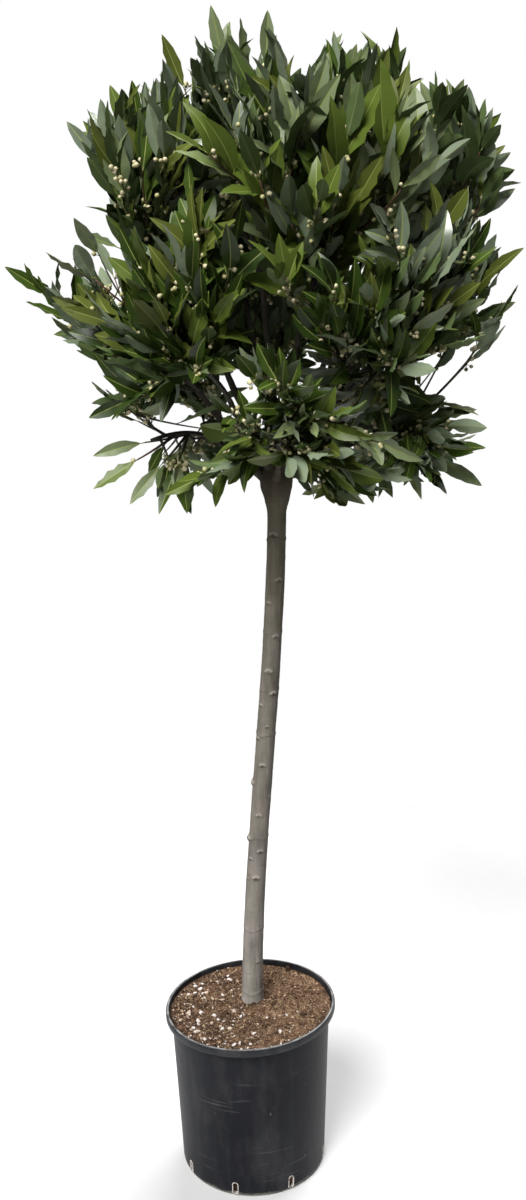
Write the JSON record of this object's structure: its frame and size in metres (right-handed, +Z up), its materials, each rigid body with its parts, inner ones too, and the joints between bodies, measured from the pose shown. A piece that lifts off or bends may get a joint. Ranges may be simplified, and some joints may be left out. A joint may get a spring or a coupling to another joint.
{
  "type": "standard bay tree in a nursery pot",
  "caption": "Evergreen tree trained as a standard: one clear leaning stem with a loose rounded head of leafy shoots, standing in a round plastic nursery pot.",
  "frame": {"origin": "centre of the pot's flat underside", "axes": "+Z up, along the pot's axis; +X to the right and +Y to the back, seen from the front, towards +X of which the stem leans"},
  "size_m": [0.7273, 0.652, 1.791],
  "materials": {
    "pot": "matt black moulded plastic, scuffed and dusty",
    "soil": "dry crumbly compost with white perlite",
    "bark": "smooth grey-brown bark with small knots",
    "bough_bark": "darker young bark, olive brown",
    "foliage": "dark green leathery leaves with a soft sheen"
  },
  "bodies": {
    "root": {"bough_high_1": "bough_bark", "bough_high_2": "bough_bark", "bough_high_3": "bough_bark", "bough_high_4": "bough_bark", "bough_low_1": "bough_bark", "bough_low_2": "bough_bark", "bough_low_3": "bough_bark", "bough_low_4": "bough_bark", "bough_low_5": "bough_bark", "bough_middle_1": "bough_bark", "bough_middle_2": "bough_bark", "bough_middle_3": "bough_bark", "bough_middle_4": "bough_bark", "bough_middle_5": "bough_bark", "bough_top_1": "bough_bark", "foliage_high_1": "foliage", "foliage_high_2": "foliage", "foliage_high_3": "foliage", "foliage_high_4": "foliage", "foliage_low_1": "foliage", "foliage_low_2": "foliage", "foliage_low_3": "foliage", "foliage_low_4": "foliage", "foliage_low_5": "foliage", "foliage_middle_1": "foliage", "foliage_middle_2": "foliage", "foliage_middle_3": "foliage", "foliage_middle_4": "foliage", "foliage_middle_5": "foliage", "foliage_top_1": "foliage", "pot": "pot", "soil": "soil", "trunk": "bark"}
  },
  "joints": []
}
